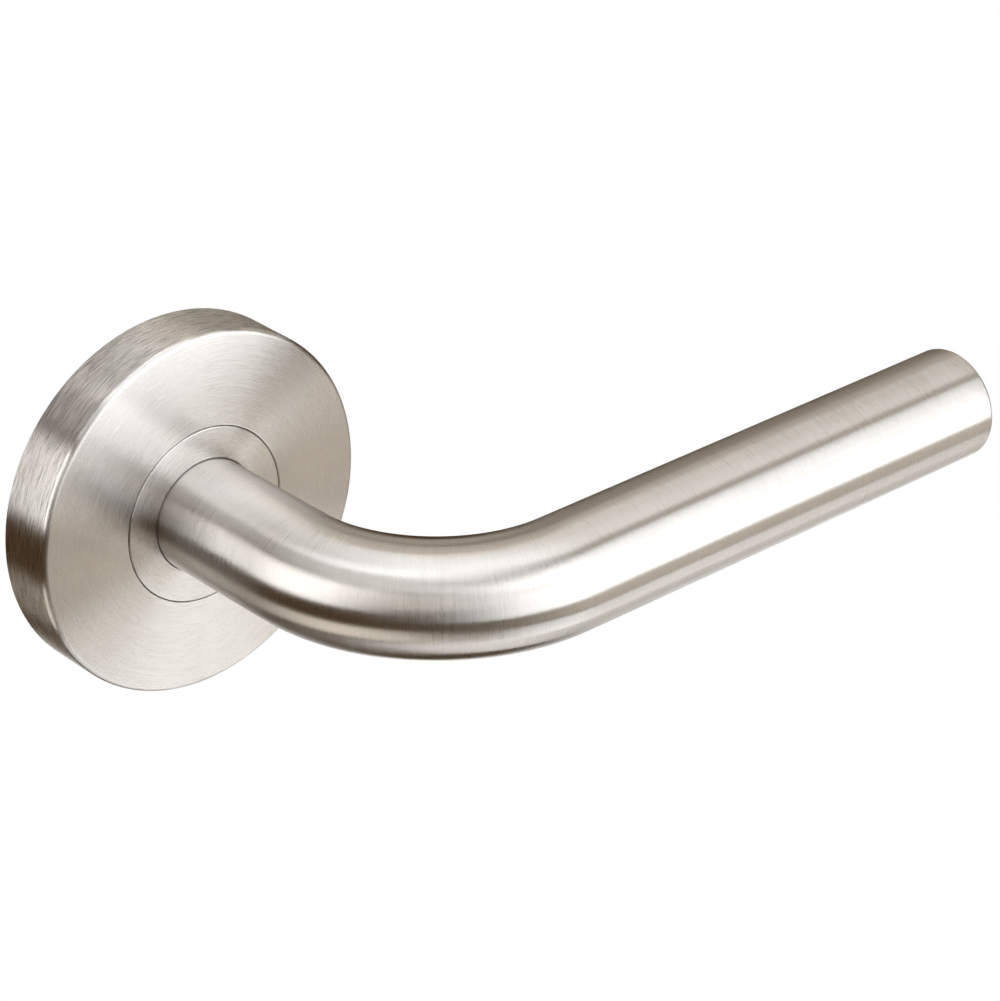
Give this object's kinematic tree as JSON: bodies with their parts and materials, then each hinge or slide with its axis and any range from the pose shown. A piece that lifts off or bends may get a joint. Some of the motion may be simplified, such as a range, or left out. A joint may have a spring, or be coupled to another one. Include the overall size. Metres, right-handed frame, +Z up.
{
  "type": "door lever handle",
  "caption": "Sprung door lever handle: a satin stainless tube with one round elbow on a thick round rose, with its spring cassette, square spindle and through-fixing sleeves.",
  "frame": {"origin": "on the spindle axis, at the plane where the rose rests on the door's face", "axes": "+Y into the door along the spindle, +X along the grip towards its free end, +Z up"},
  "size_m": [0.1565, 0.098, 0.065],
  "materials": {
    "satin_stainless": "fine satin brushing: across the tube, along the rim and in rings on the rose's face",
    "turned_stainless": "turned and satin brushed in fine rings",
    "cast_zinc": "die-cast zinc alloy, dull",
    "plated_steel": "bright zinc-plated steel",
    "spring_steel": "dark oiled spring steel",
    "white_nylon": "natural white nylon"
  },
  "bodies": {
    "base": {"base_plate": "cast_zinc", "neck_collar": "turned_stainless", "bearing_bush": "white_nylon", "cassette_cover": "plated_steel", "return_spring": "spring_steel", "cover_retaining_ring": "spring_steel", "sleeve_nut_upper": "plated_steel", "sleeve_nut_lower": "plated_steel", "cassette_screw_1": "plated_steel", "cassette_screw_2": "plated_steel", "cassette_screw_3": "plated_steel", "cassette_screw_4": "plated_steel"},
    "lever": {"lever_tube": "satin_stainless", "grip_end_plug": "turned_stainless", "lever_hub": "cast_zinc", "lever_grub_screw": "plated_steel", "spindle": "plated_steel", "spring_driver": "plated_steel", "retaining_ring": "spring_steel", "thrust_washer": "plated_steel", "wave_washer": "spring_steel"},
    "cover": {"cover_rose": "satin_stainless"}
  },
  "joints": [
    {"name": "lever_turn", "type": "hinge", "parent": "base", "child": "lever", "pos_m": [0, 0, 0], "axis": [0, 1, 0], "range_deg": [0, 45], "stiffness_Nm_per_rad": 0.76, "springref_deg": -44.98, "deforming": ["return_spring"]},
    {"name": "cover_slide", "type": "slide", "parent": "base", "child": "cover", "axis": [0, -1, 0], "range_m": [0, 0.025]}
  ]
}
